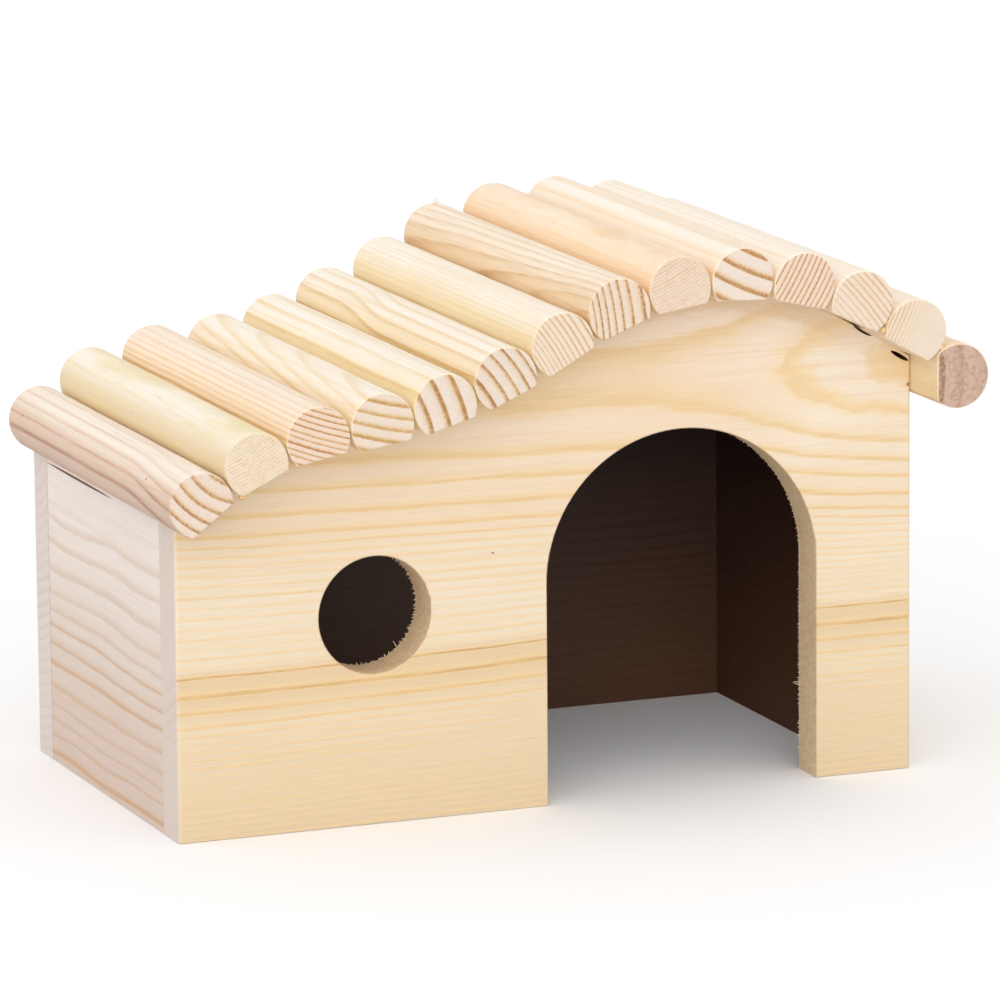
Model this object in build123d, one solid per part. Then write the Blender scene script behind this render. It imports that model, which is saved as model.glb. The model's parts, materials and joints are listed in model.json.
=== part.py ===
from build123d import *
import os
from math import asin, atan2, cos, degrees, hypot, radians, sin, sqrt, tan

# Wooden hamster house: four pine boards glued into a bottomless box, roofed with flattened
# dowels that follow the waved top edges of the front and back boards.
# Millimetres. +X runs along the front from the low eave to the high end, +Y to the back, +Z up.
# Pieces are laid out from the low front bottom corner, then moved to the common origin:
# the centre of the whole house in plan, on the surface that it stands on.

# Boards
board_thickness = 8.0
house_width = 140.0  # front and back boards, end to end
house_depth = 77.5  # front face to back face
corner_round = 0.6  # sanded upright corners
glue_line = 0.05  # film of glue wherever two pieces meet

# Roof line, from the low eave: hump, hollow, main hump, then a straight fall.
# Angles are slopes in degrees above level, and neighbouring stretches share a tangent.
eave_height = 56.2
eave_slope = 44.0
shoulder_radius = 46.0
hollow_slope = 4.0
hollow_radius = 96.0
rise_slope = 31.0
crest_radius = 55.0
fall_slope = -30.0

# Doorway, open at the bottom, with a half-round top
door_width = 52.0
door_spring_height = 40.0
door_centre = 95.5  # from the low end

# Round window
window_diameter = 21.0
window_centre = 37.0  # from the low end
window_height = 37.5
opening_break = 0.3  # edges of both openings, broken with sandpaper

# Roof logs
log_diameter = 11.9
log_flat_cut = 2.35  # planed off the underside
log_gap = 0.03  # between neighbours
log_end_chamfer = 0.45
front_overhang = 11.5
back_overhang = 1.0
first_seat = 3.4  # middle of the first log's flat, from the low end
# How far each log was sawn off its nominal length, at the back end
saw_errors = (-1.0, 0.0, -2.0, -4.0, -1.5, 0.5, -1.0, 0.5, 0.0, -1.5, 0.0, -0.5, 0.0, 0.0)
# Last log, glued upright against the high ends of the boards
eave_log_flat_cut = 1.85
eave_log_drop = 1.95  # its axis at least this far below the boards' top corner

log_radius = log_diameter / 2
log_pitch = log_diameter + log_gap
roof_arcs = (
    (shoulder_radius, eave_slope, hollow_slope),
    (hollow_radius, hollow_slope, rise_slope),
    (crest_radius, rise_slope, fall_slope),
)


def roof_height(x):
    """Height of the boards' top edge at a distance from the low end."""
    height = eave_height
    for radius, slope_in, slope_out in roof_arcs:
        bend = radius if slope_in > slope_out else -radius
        start, end = radians(slope_in), radians(slope_out)
        run = bend * (sin(start) - sin(end))
        slope = end if x > run else asin(sin(start) - x / bend)
        height += bend * (cos(slope) - cos(start))
        if x <= run:
            return height
        x -= run
    return height + x * tan(radians(fall_slope))


def board_outline():
    """Front view of the front and back boards: the area under the roof line."""
    with BuildSketch() as outline:
        with BuildLine():
            start = (0, eave_height)
            for radius, slope_in, slope_out in roof_arcs:
                heading = (cos(radians(slope_in)), sin(radians(slope_in)))
                arc = JernArc(start, heading, radius, slope_out - slope_in)
                start = arc @ 1
            past_end = house_width
            far_end = (start.X + past_end, start.Y + past_end * tan(radians(fall_slope)))
            well_below = -house_width
            Polyline(start, far_end, (far_end[0], well_below), (0, well_below), (0, eave_height))
        make_face()
        Rectangle(house_width, 2 * house_width, align=(Align.MIN, Align.MIN), mode=Mode.INTERSECT)
    return outline.sketch


def front_view(sketch, depth):
    """Solid from a front-view sketch, from y = 0 backwards."""
    return extrude(Plane.XZ * sketch, amount=depth, dir=(0, 1, 0))


def plain_board():
    """Waved board with its outer face at y = 0 and its upright corners rounded."""
    board = front_view(board_outline(), board_thickness)
    corners = board.edges().filter_by(Axis.Z).group_by(Axis.Y)[0]
    return fillet(corners, min(corner_round, 0.4 * board_thickness))


def front_panel():
    """Waved board with the doorway and the window."""
    jambs = Rectangle(door_width, door_spring_height, align=(Align.CENTER, Align.MIN))
    doorway = Pos(door_centre, 0) * (jambs + Pos(0, door_spring_height) * Circle(door_width / 2))
    window = Pos(window_centre, window_height) * Circle(window_diameter / 2)
    panel = plain_board()
    for opening in (doorway, window):
        cut = panel - front_view(opening, board_thickness)
        rim = new_edges(panel, combined=cut).group_by(Axis.Y)
        panel = chamfer(rim[0] + rim[-1], opening_break)
    return panel


def back_panel():
    """The same waved board without openings, turned to face the back."""
    return mirror(plain_board(), Plane.XZ.offset(-house_depth / 2))


def side_panel(outer_x, inner_x):
    """Square-topped board between the front and back boards, flush with their ends."""
    height = min(roof_height(outer_x), roof_height(inner_x)) - 2 * glue_line
    depth = house_depth - 2 * (board_thickness + glue_line)
    place = Pos(min(outer_x, inner_x), board_thickness + glue_line, 0)
    return place * Box(board_thickness, depth, height, align=(Align.MIN, Align.MIN, Align.MIN))


def flat_half_width(flat_cut):
    return sqrt(log_radius**2 - (log_radius - flat_cut) ** 2)


def log_seat(x):
    """Axis of a log seated at x, and its tilt: the flat lies on the roof line's high points."""
    half = flat_half_width(log_flat_cut)
    left, right = max(x - half, 0), min(x + half, house_width)
    tilt = atan2(roof_height(right) - roof_height(left), right - left)
    steps = 60
    under_flat = [left + (right - left) * step / steps for step in range(steps + 1)]
    lift = max(
        (roof_height(u) - roof_height(x)) * cos(tilt) - (u - x) * sin(tilt) for u in under_flat
    )
    axis_lift = lift + glue_line + log_radius - log_flat_cut
    return x - axis_lift * sin(tilt), roof_height(x) + axis_lift * cos(tilt), degrees(tilt)


def next_seat(x):
    """Seat of the log that touches the one seated at x, on its high side."""
    axis = log_seat(x)
    near, far = x, x + 2 * log_pitch
    while far - near > 0.001:
        middle = (near + far) / 2
        trial = log_seat(middle)
        if hypot(trial[0] - axis[0], trial[1] - axis[1]) < log_pitch:
            near = middle
        else:
            far = middle
    return far


def roof_axes():
    """Axis, tilt and flat of every log, low eave first: rolled up the roof line, then the last."""
    axes = []
    x = first_seat
    while x < house_width:
        axes.append((*log_seat(x), log_flat_cut))
        x = next_seat(x)
    last_x, last_z = axes[-1][:2]
    eave_x = house_width + glue_line + log_radius - eave_log_flat_cut
    tucked_under = last_z - sqrt(max(log_pitch**2 - (eave_x - last_x) ** 2, 0))
    eave_z = min(roof_height(house_width) - eave_log_drop, tucked_under)
    return axes + [(eave_x, eave_z, -90.0, eave_log_flat_cut)]


def roof_log(axis_x, axis_z, tilt, flat_cut, saw_error):
    """Dowel with a planed flat, its sawn ends chamfered."""
    planed_off = Pos(0, -log_radius) * Rectangle(log_diameter, 2 * flat_cut)
    length = front_overhang + house_depth + back_overhang + saw_error
    log = front_view(Circle(log_radius) - planed_off, length)
    ends = log.faces().sort_by(Axis.Y)
    log = chamfer(ends[0].edges() + ends[-1].edges(), log_end_chamfer)
    return Pos(axis_x, -front_overhang, axis_z) * Rot(0, -tilt, 0) * log


def build_house():
    """Every piece by name, all in the house's own frame."""
    pieces = {
        "front_panel": front_panel(),
        "back_panel": back_panel(),
        "left_side_panel": side_panel(0, board_thickness),
        "right_side_panel": side_panel(house_width, house_width - board_thickness),
    }
    for index, axis in enumerate(roof_axes()):
        saw_error = saw_errors[index % len(saw_errors)]
        pieces[f"roof_log_{index + 1:02d}"] = roof_log(*axis, saw_error)
    boxes = [piece.bounding_box() for piece in pieces.values()]
    middle_x = (min(box.min.X for box in boxes) + max(box.max.X for box in boxes)) / 2
    middle_y = (min(box.min.Y for box in boxes) + max(box.max.Y for box in boxes)) / 2
    return {name: Pos(-middle_x, -middle_y, 0) * piece for name, piece in pieces.items()}


os.makedirs("parts", exist_ok=True)
for name, piece in build_house().items():
    export_step(piece, f"parts/{name}.step")
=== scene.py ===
import bpy
import json
import math
import random
from mathutils import Matrix, Vector

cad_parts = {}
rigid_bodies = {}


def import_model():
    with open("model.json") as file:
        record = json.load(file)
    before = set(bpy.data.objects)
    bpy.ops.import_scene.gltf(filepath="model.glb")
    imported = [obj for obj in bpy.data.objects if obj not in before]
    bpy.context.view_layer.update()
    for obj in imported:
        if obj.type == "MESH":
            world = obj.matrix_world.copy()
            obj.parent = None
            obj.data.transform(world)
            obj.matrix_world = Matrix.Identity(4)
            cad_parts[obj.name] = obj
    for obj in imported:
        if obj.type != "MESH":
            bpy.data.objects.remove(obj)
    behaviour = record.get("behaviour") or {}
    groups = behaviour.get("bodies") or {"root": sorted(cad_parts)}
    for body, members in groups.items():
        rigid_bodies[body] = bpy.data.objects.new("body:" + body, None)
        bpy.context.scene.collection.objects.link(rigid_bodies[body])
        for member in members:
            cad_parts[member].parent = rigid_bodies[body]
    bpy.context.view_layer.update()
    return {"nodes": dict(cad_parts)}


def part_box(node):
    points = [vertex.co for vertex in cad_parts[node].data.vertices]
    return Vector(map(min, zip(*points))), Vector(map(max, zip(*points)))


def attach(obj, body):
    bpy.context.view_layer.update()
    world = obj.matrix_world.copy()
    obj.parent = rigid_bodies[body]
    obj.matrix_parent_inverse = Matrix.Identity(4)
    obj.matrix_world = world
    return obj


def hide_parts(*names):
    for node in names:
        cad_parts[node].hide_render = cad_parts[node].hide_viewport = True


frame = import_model()
mm = 0.001
corner = Vector(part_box("front_panel")[0])  # low front corner of the house, on the floor
white = (1.0, 1.0, 1.0, 1.0)


def tint(chip):
    # paint-chip numbers, 0 to 255, into what the shader takes
    shares = [value / 255 for value in chip]
    return tuple(c / 12.92 if c < 0.04045 else ((c + 0.055) / 1.055) ** 2.4 for c in shares) + (1.0,)


def tints(look, *keys):
    return [tint(look[key]) for key in keys]


# camera and light
cameraLook = {
    "turn": 21.658,  # degrees round to the low-eave side
    "climb": 11.551,
    "roll": -0.524,
    "distance": 1.34638,
    "lens": 268.31,
    "film": 36,
    "aim": (0.070, 0.036, 0.050),  # from the low front corner
    "slide": (0.00461, -0.00145),  # across and up
}


def placeCamera(look):
    turn, climb, roll = (math.radians(look[key]) for key in ("turn", "climb", "roll"))
    back = Vector((-math.sin(turn) * math.cos(climb), -math.cos(turn) * math.cos(climb), math.sin(climb)))
    right = (-back).cross(Vector((0, 0, 1))).normalized()
    up = right.cross(-back)
    aim = corner + Vector(look["aim"]) + right * look["slide"][0] + up * look["slide"][1]
    rolledRight = right * math.cos(roll) + up * math.sin(roll)
    rolledUp = up * math.cos(roll) - right * math.sin(roll)
    turned = Matrix((rolledRight, rolledUp, back)).transposed().to_euler()
    bpy.ops.object.camera_add(location=aim + back * look["distance"], rotation=turned)
    camera = bpy.context.object
    camera.name = "camera"
    camera.data.lens = look["lens"]
    camera.data.sensor_width = look["film"]
    bpy.context.scene.camera = camera


studioLook = {
    "sky": (0.5, 0.98),  # strength of the white room at the horizon and overhead
    "skyHeights": (-0.1, 1.0),
    "lamps": (
        # name, energy, softness in degrees, direction that it shines from
        ("bigSoftbox", 0.99, 60, (-0.42, -0.87, 0.24)),
        ("lowCard", 0.38, 24, (-0.40, -0.91, 0.05)),  # reaches in under the logs
        ("fillFromLeft", 0.45, 80, (-0.90, -0.15, 0.26)),
        ("fillFromRight", 0.25, 80, (0.75, -0.60, 0.30)),
    ),
    "lampsAt": 1.5,
}


def lightStudio(look):
    world = bpy.data.worlds.new("whiteRoom")
    bpy.context.scene.world = world
    world.use_nodes = True
    tree = world.node_tree
    tree.nodes.clear()
    direction = newNode(tree, "ShaderNodeTexCoord").outputs["Generated"]
    strength = mapRange(tree, splitVector(tree, direction)["Z"], *look["skyHeights"], *look["sky"])
    room = shaderNode(tree, "Background", Color=white, Strength=strength)
    plainWhite = shaderNode(tree, "Background", Color=white, Strength=1.0)
    path = newNode(tree, "ShaderNodeLightPath").outputs
    seen = mathNode(tree, "MAXIMUM", path["Is Camera Ray"], path["Is Glossy Ray"])
    sky = mixShaders(tree, seen, room, plainWhite)
    shaderNode(tree, "OutputWorld", Surface=sky)
    for name, energy, softness, fromSide in look["lamps"]:
        facing = Vector(fromSide).to_track_quat("Z", "Y").to_euler()
        spot = Vector(fromSide) * look["lampsAt"]
        bpy.ops.object.light_add(type="SUN", location=spot, rotation=facing)
        lamp = bpy.context.object
        lamp.name = name
        lamp.data.energy = energy
        lamp.data.angle = math.radians(softness)


# where new nodes go in the editor
nodeGrid = {"columns": 8, "width": 220, "height": 300}


def newNode(tree, kind, **settings):
    row, column = divmod(len(tree.nodes), nodeGrid["columns"])
    node = tree.nodes.new(kind)
    node.location = (column * nodeGrid["width"], -row * nodeGrid["height"])
    for key, value in settings.items():
        setattr(node, key, value)
    return node


def plug(tree, value, socket):
    if isinstance(value, bpy.types.NodeSocket):
        tree.links.new(value, socket)
    else:
        socket.default_value = value


def plugAll(tree, values, sockets):
    for value, socket in zip(values, sockets):
        plug(tree, value, socket)


def plugNamed(tree, node, values):
    for name, value in values.items():
        plug(tree, value, node.inputs[name.replace("_", " ")])


def shaderNode(tree, kind, **values):
    node = newNode(tree, "ShaderNode" + kind)
    plugNamed(tree, node, values)
    return node.outputs[0] if node.outputs else None


def mixShaders(tree, factor, first, second):
    node = newNode(tree, "ShaderNodeMixShader")
    plugAll(tree, (factor, first, second), node.inputs)
    return node.outputs[0]


def mathNode(tree, operation, *values, clamp=False):
    node = newNode(tree, "ShaderNodeMath", operation=operation, use_clamp=clamp)
    plugAll(tree, values, node.inputs)
    return node.outputs[0]


def plus(tree, first, second):
    return mathNode(tree, "ADD", first, second)


def minus(tree, first, second):
    return mathNode(tree, "SUBTRACT", first, second)


def times(tree, first, second):
    return mathNode(tree, "MULTIPLY", first, second)


def timesPlus(tree, first, second, third):
    return mathNode(tree, "MULTIPLY_ADD", first, second, third)


def vectorNode(tree, operation, *values):
    node = newNode(tree, "ShaderNodeVectorMath", operation=operation)
    plugAll(tree, values, node.inputs)
    single = operation in ("LENGTH", "DOT_PRODUCT", "DISTANCE")
    return node.outputs["Value" if single else "Vector"]


def splitVector(tree, vector):
    node = newNode(tree, "ShaderNodeSeparateXYZ")
    plug(tree, vector, node.inputs[0])
    return node.outputs


def joinVector(tree, *parts):
    node = newNode(tree, "ShaderNodeCombineXYZ")
    plugAll(tree, parts, node.inputs)
    return node.outputs[0]


def mapRange(tree, value, fromLow, fromHigh, toLow=0.0, toHigh=1.0, kind="LINEAR"):
    node = newNode(tree, "ShaderNodeMapRange", interpolation_type=kind)
    limits = {"From_Min": fromLow, "From_Max": fromHigh, "To_Min": toLow, "To_Max": toHigh}
    plugNamed(tree, node, {"Value": value, **limits})
    return node.outputs["Result"]


def fade(tree, value, *between):
    return mapRange(tree, value, *between, kind="SMOOTHSTEP")


def mixColour(tree, factor, first, second, blend="MIX"):
    node = newNode(tree, "ShaderNodeMix", data_type="RGBA", blend_type=blend)
    plugAll(tree, (factor, first, second), (node.inputs[0], node.inputs[6], node.inputs[7]))
    return node.outputs[2]


def noise(tree, vector, stretch, detail=2, roughness=0.5):
    # stretch is how many lumps to the mm, across, along and across the grain
    node = newNode(tree, "ShaderNodeTexNoise")
    stretched = vectorNode(tree, "MULTIPLY", vector, stretch)
    plugNamed(tree, node, {"Vector": stretched, "Scale": 1.0, "Detail": detail, "Roughness": roughness})
    return node.outputs["Fac"]


def wander(tree, *lumps):
    return minus(tree, noise(tree, *lumps), 0.5)


def curve(tree, value, low, high, points, outLow=0.0, outHigh=1.0):
    # points are (value, result) as a hand would set them on the curve
    node = newNode(tree, "ShaderNodeFloatCurve")
    line = node.mapping.curves[0]
    span = outHigh - outLow
    placed = [((at - low) / (high - low), (result - outLow) / span) for at, result in points]
    line.points[0].location = placed[0]
    line.points[1].location = placed[-1]
    for at, result in placed[1:-1]:
        line.points.new(at, result)
    for point in line.points:
        point.handle_type = "VECTOR"
    node.mapping.update()
    plug(tree, mapRange(tree, value, low, high), node.inputs["Value"])
    return mapRange(tree, node.outputs[0], 0.0, 1.0, outLow, outHigh)


def ramp(tree, value, stops):
    node = newNode(tree, "ShaderNodeValToRGB")
    points = node.color_ramp.elements
    while len(points) < len(stops):
        points.new(0.5)
    for point, (position, colour) in zip(points, stops):
        point.position = position
        point.color = colour if isinstance(colour, tuple) else (colour, colour, colour, 1)
    plug(tree, value, node.inputs[0])
    return node.outputs[0]


def startGroup(name, inputs, outputs):
    # nothing given makes a vector socket, four numbers a colour socket, one number a plain one
    tree = bpy.data.node_groups.new(name, "ShaderNodeTree")
    for label, value in inputs.items():
        kind = "Vector" if value is None else "Color" if isinstance(value, tuple) else "Float"
        socket = tree.interface.new_socket(label, in_out="INPUT", socket_type="NodeSocket" + kind)
        if value is not None:
            socket.default_value = value
    for label, kind in outputs.items():
        tree.interface.new_socket(label, in_out="OUTPUT", socket_type="NodeSocket" + kind)
    return tree, tree.nodes.new("NodeGroupInput").outputs, tree.nodes.new("NodeGroupOutput").inputs


def useGroup(tree, group, **values):
    node = newNode(tree, "ShaderNodeGroup", node_tree=group)
    plugNamed(tree, node, values)
    return node.outputs


# pine: its year rings, the wood that every piece shares, and the painted shade in the room
ringLook = {
    "edge": (0.8, 0.06, 0.8),  # how the bands' edges stray
    "year": (
        # how dark the wood gets through one year
        (0.0, 0.22), (0.05, 0.0), (0.40, 0.02), (0.56, 0.22), (0.68, 0.55), (0.81, 0.97), (0.93, 1.0),
        (1.0, 0.22),
    ),
    "dots": (1.9, 0.10, 1.9),
    "dotsFrom": 0.36,
    "dotsTo": 0.62,
}

pineLook = {
    "fibre": (3.4, 0.12, 3.4),  # fibres per mm: across, along and across the grain
    "blotch": (0.10, 0.025, 0.10),
    "streak": (1.3, 0.011, 1.3),
    "resin": (1.1, 0.16, 1.1),
    "resinSize": 0.17,
    "resinRarity": 0.55,
    "rimColour": (246, 230, 206),
    "rimAmount": 0.15,
    "resinColour": (205, 165, 105),
    "halo": (236, 204, 148),
    "endHalo": (228, 190, 136),
    "relief": 0.10 * mm,
    "bump": 0.35,
}

insideShadeLook = {
    "paintedShadeLow": (100, 72, 58),  # painted shade that darkens whatever the pine is, near the floor
    "paintedShadeHigh": (50, 30, 24),  # and darker painted shade up under the roof
    "fade": (0.006, 0.052),  # metres up the walls
}


def makeRingGroup(look):
    # turns a place counted in year rings into the dark latewood band that closes each ring
    inputs = {
        "Place": 0.0, "Grain": None, "Strength": 1.0, "Ragged": 0.12, "Narrow": 1.0, "Variety": 0.4,
        "Dotted": 0.0, "Seed": 0.0,
    }
    tree, given, out = startGroup("yearRings", inputs, {"Band": "Float"})
    place = timesPlus(tree, wander(tree, given["Grain"], look["edge"]), given["Ragged"], given["Place"])
    luck = newNode(tree, "ShaderNodeTexWhiteNoise", noise_dimensions="1D")
    plug(tree, plus(tree, mathNode(tree, "FLOOR", place), given["Seed"]), luck.inputs["W"])
    share = minus(tree, 1.0, times(tree, luck.outputs["Value"], given["Variety"]))
    profile = ramp(tree, mathNode(tree, "FRACT", place), look["year"])
    band = mathNode(tree, "POWER", profile, given["Narrow"])
    dots = noise(tree, given["Grain"], look["dots"], 2, 0.6)
    dots = minus(tree, mapRange(tree, dots, look["dotsFrom"], look["dotsTo"]), 1.0)
    band = times(tree, band, timesPlus(tree, dots, given["Dotted"], 1.0))
    band = mathNode(tree, "MULTIPLY", times(tree, band, share), given["Strength"], clamp=True)
    plug(tree, band, out["Band"])
    return tree


def makePineGroup(look):
    # colours, fibres, resin ducts and relief that every pine surface shares
    inputs = {
        "Grain": None, "Band": 0.0, "End": 0.0, "Rim": 0.0, "Early": white, "Late": white,
        "Halo": tint(look["halo"]), "End early": white, "End late": white, "End halo": tint(look["endHalo"]),
        "Blotch": white, "Blotch amount": 0.25, "Streak amount": 0.3, "Fibre amount": 0.16,
        "Resin amount": 0.35,
    }
    outputs = {"Colour": "Color", "Roughness": "Float", "Height": "Float"}
    tree, given, out = startGroup("pineWood", inputs, outputs)
    grain, band = given["Grain"], given["Band"]
    blotch = fade(tree, noise(tree, grain, look["blotch"], 3, 0.55), 0.42, 0.66)
    blotch = times(tree, blotch, given["Blotch amount"])
    streak = fade(tree, noise(tree, grain, look["streak"], 3, 0.7), 0.45, 0.70)
    onSide = times(tree, minus(tree, 1.0, given["End"]), given["Streak amount"])
    blotch = mathNode(tree, "MAXIMUM", blotch, times(tree, streak, onSide))
    cells = newNode(tree, "ShaderNodeTexVoronoi")
    plug(tree, vectorNode(tree, "MULTIPLY", grain, look["resin"]), cells.inputs["Vector"])
    plug(tree, 1.0, cells.inputs["Scale"])
    duct = fade(tree, cells.outputs["Distance"], look["resinSize"], look["resinSize"] * 0.5)
    chosen = mathNode(tree, "GREATER_THAN", cells.outputs["Color"], look["resinRarity"])
    resin = times(tree, times(tree, duct, chosen), given["Resin amount"])
    early = mixColour(tree, blotch, given["Early"], given["Blotch"])
    # each band warms to gold before it turns brown at its hard edge
    golden = mapRange(tree, band, 0.0, 0.6)
    brown = fade(tree, band, 0.30, 0.98)
    side = mixColour(tree, golden, early, given["Halo"])
    side = mixColour(tree, brown, side, given["Late"])
    end = mixColour(tree, golden, given["End early"], given["End halo"])
    end = mixColour(tree, brown, end, given["End late"])
    body = mixColour(tree, given["End"], side, end)
    body = mixColour(tree, times(tree, given["Rim"], look["rimAmount"]), body, tint(look["rimColour"]))
    body = mixColour(tree, resin, body, tint(look["resinColour"]))
    fibre = noise(tree, grain, look["fibre"], 4, 0.65)
    lighter = minus(tree, fibre, 0.5)
    shade = timesPlus(tree, lighter, given["Fibre amount"], 1.0)
    body = mixColour(tree, 1.0, body, joinVector(tree, shade, shade, shade), "MULTIPLY")
    plug(tree, body, out["Colour"])
    rough = mapRange(tree, band, 0.0, 1.0, 0.52, 0.44)
    plug(tree, timesPlus(tree, lighter, 0.15, rough), out["Roughness"])
    plug(tree, minus(tree, timesPlus(tree, band, 0.35, fibre), resin), out["Height"])
    return tree


def paintInsideShade(tree, normal, axis, colour):
    # the faces that close the room in get painted shade over the pine, darker up under the roof
    inward = fade(tree, vectorNode(tree, "DOT_PRODUCT", normal, axis), 0.5, 0.8)
    place = newNode(tree, "ShaderNodeTexCoord").outputs["Object"]
    fadeLow, fadeHigh = (corner.z + height for height in insideShadeLook["fade"])
    up = mapRange(tree, splitVector(tree, place)["Z"], fadeLow, fadeHigh)
    paintedShade = mixColour(tree, up, *tints(insideShadeLook, "paintedShadeLow", "paintedShadeHigh"))
    return mixColour(tree, inward, colour, mixColour(tree, 1.0, colour, paintedShade, "MULTIPLY"))


def newMaterial(name):
    material = bpy.data.materials.new(name)
    material.use_nodes = True
    material.node_tree.nodes.clear()
    return material, material.node_tree


def finishMaterial(material, colour, roughness, height):
    tree = material.node_tree
    values = {"Strength": pineLook["bump"], "Distance": pineLook["relief"], "Height": height}
    bump = shaderNode(tree, "Bump", **values)
    values = {"Base Color": colour, "Roughness": roughness, "Normal": bump, "Specular IOR Level": 0.5}
    shader = shaderNode(tree, "BsdfPrincipled", **values)
    shaderNode(tree, "OutputMaterial", Surface=shader)
    return material


def grainSpace(tree, origin, turn=(0, 0, 0)):
    # object coordinates in millimetres from a point in the wood, y along the grain
    place = newNode(tree, "ShaderNodeTexCoord").outputs
    mapping = newNode(tree, "ShaderNodeMapping", vector_type="TEXTURE")
    values = {"Vector": place["Object"], "Location": tuple(origin), "Rotation": turn, "Scale": (mm, mm, mm)}
    plugNamed(tree, mapping, values)
    return mapping.outputs[0], place["Normal"]


def facingAlong(tree, normal, axis):
    return mathNode(tree, "ABSOLUTE", vectorNode(tree, "DOT_PRODUCT", normal, axis))


def fromAxis(tree, place, middle):
    # how far off a line along y
    apart = vectorNode(tree, "SUBTRACT", place, middle)
    return vectorNode(tree, "LENGTH", vectorNode(tree, "MULTIPLY", apart, (1, 0, 1)))


def pinKnot(tree, colour, place, middle, radius, knot):
    core, strength, chip = knot
    apart = vectorNode(tree, "DISTANCE", place, tuple(middle))
    return mixColour(tree, fade(tree, apart, radius, core * radius, 0.0, strength), colour, tint(chip))


def dowelPine(name, look, frontEnd):
    look = {**plainLog, **look}
    material, tree = newMaterial(name)
    bandTurn = math.radians(look["bands"])
    grain, normal = grainSpace(tree, frontEnd, (0, bandTurn - math.pi / 2, 0))
    seed = float(name[-2:])
    seeded = vectorNode(tree, "ADD", grain, (seed * 17, seed * 31, 0.0))
    across, along, level = splitVector(tree, grain)
    # the trunk's heart leans and bends away from the dowel's own axis
    bendSize, bendFrom, bendTo = look["bend"]
    lean = timesPlus(tree, along, look["lean"], fade(tree, along, bendFrom, bendTo, 0.0, bendSize))
    settled = fade(tree, along, 0.0, look["swayFrom"], 0.0, look["sway"])
    lean = timesPlus(tree, wander(tree, seeded, look["swayGrain"]), settled, lean)
    fromHeart = minus(tree, minus(tree, across, lean), look["heart"])
    distance = vectorNode(tree, "LENGTH", joinVector(tree, fromHeart, 0.0, level))
    depth = minus(tree, distance, abs(look["heart"]))
    graded = timesPlus(tree, times(tree, depth, depth), look["grade"], depth)
    place = mathNode(tree, "DIVIDE", graded, look["ringWidth"])
    uneven = newNode(tree, "ShaderNodeTexNoise", noise_dimensions="1D")
    plugNamed(tree, uneven, {"W": plus(tree, place, seed * 5.3), "Scale": 0.8, "Detail": 1.0})
    shifted = timesPlus(tree, uneven.outputs["Fac"], look["uneven"], place)
    shifted = plus(tree, shifted, look["shift"] - look["uneven"] / 2)
    # paler on top than down the flanks: the pine's tone with painted highlight on top and painted shade down
    # the flanks
    upward = vectorNode(tree, "DOT_PRODUCT", normal, (0, 0, 1))
    early = mixColour(tree, fade(tree, upward, 0.15, 0.95), *tints(look, "flank", "top"))
    facing = facingAlong(tree, normal, (0, 1, 0))
    end = fade(tree, facing, 0.86, 0.97)
    rim = mathNode(tree, "SUBTRACT", fade(tree, facing, 0.12, 0.45), end, clamp=True)
    sideDark = mapRange(tree, upward, 0.1, 0.95, *look["sideDark"])
    sideFade = times(tree, minus(tree, sideDark, 1.0), minus(tree, 1.0, end))
    strength = mapRange(tree, across, -6.0, 6.0, *look["strength"])
    strength = times(tree, strength, plus(tree, sideFade, 1.0))
    band = useGroup(
        tree, ringGroup, Place=shifted, Grain=seeded, Strength=strength, Narrow=look["narrow"],
        Ragged=look.get("ragged", 0.16 / look["ringWidth"]), Variety=look["variety"],
        Dotted=look["dotted"], Seed=seed,
    )["Band"]
    late, halo, endEarly, endLate, endHalo = tints(look, "late", "halo", "endEarly", "endLate", "endHalo")
    cloudy = fade(tree, noise(tree, seeded, look["mottleGrain"], 3, 0.65), 0.42, 0.68, 0.0, look["mottle"])
    wood = useGroup(
        tree, pineGroup, Grain=seeded, Band=band, End=end, Rim=rim, Early=early, Late=late, Halo=halo,
        End_early=mixColour(tree, cloudy, endEarly, endLate), End_late=endLate, End_halo=endHalo,
        Blotch=halo, Blotch_amount=look["blotches"], Streak_amount=look["streaks"],
        Resin_amount=look["resin"],
    )
    colour = wood["Colour"]
    for speck in look["specks"]:
        offset = corner + Vector(speck) * mm - frontEnd
        there = Matrix.Rotation(math.pi / 2 - bandTurn, 3, "Y") @ offset / mm
        colour = pinKnot(tree, colour, grain, there, look["speckSize"], look["speck"])
    # the flat gets the painted shade just where it closes the room in
    middle, reach = look["roomSpan"]
    overRoom = mathNode(tree, "LESS_THAN", mathNode(tree, "ABSOLUTE", minus(tree, along, middle)), reach)
    flatSide = vectorNode(tree, "SCALE", normal)
    plug(tree, overRoom, flatSide.node.inputs["Scale"])
    tilt = math.radians(look["tilt"])
    colour = paintInsideShade(tree, flatSide, (math.sin(tilt), 0, -math.cos(tilt)), colour)
    return finishMaterial(material, colour, wood["Roughness"], wood["Height"])


# roof logs
logShape = {
    "radius": 5.95 * mm,
    "flatCut": 2.35 * mm,
    "eaveFlatCut": 1.85 * mm,  # the last log, glued upright against the boards
    "sides": 96,
    "frontRound": 0.3 * mm,
    "backRound": 0.85 * mm,
    "flatRound": 0.3 * mm,
    "lengthCuts": 30,
    "lumps": 0.14 * mm,  # how far the lathe strayed
    "lumpSize": 14 * mm,
    "trim": 0.03 * mm,  # kept clear of the glue line
    "spare": 4 * mm,  # sawn off again
    "weld": 0.08 * mm,
    "near": 0.09 * mm,  # how close counts as on an edge
}

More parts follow.
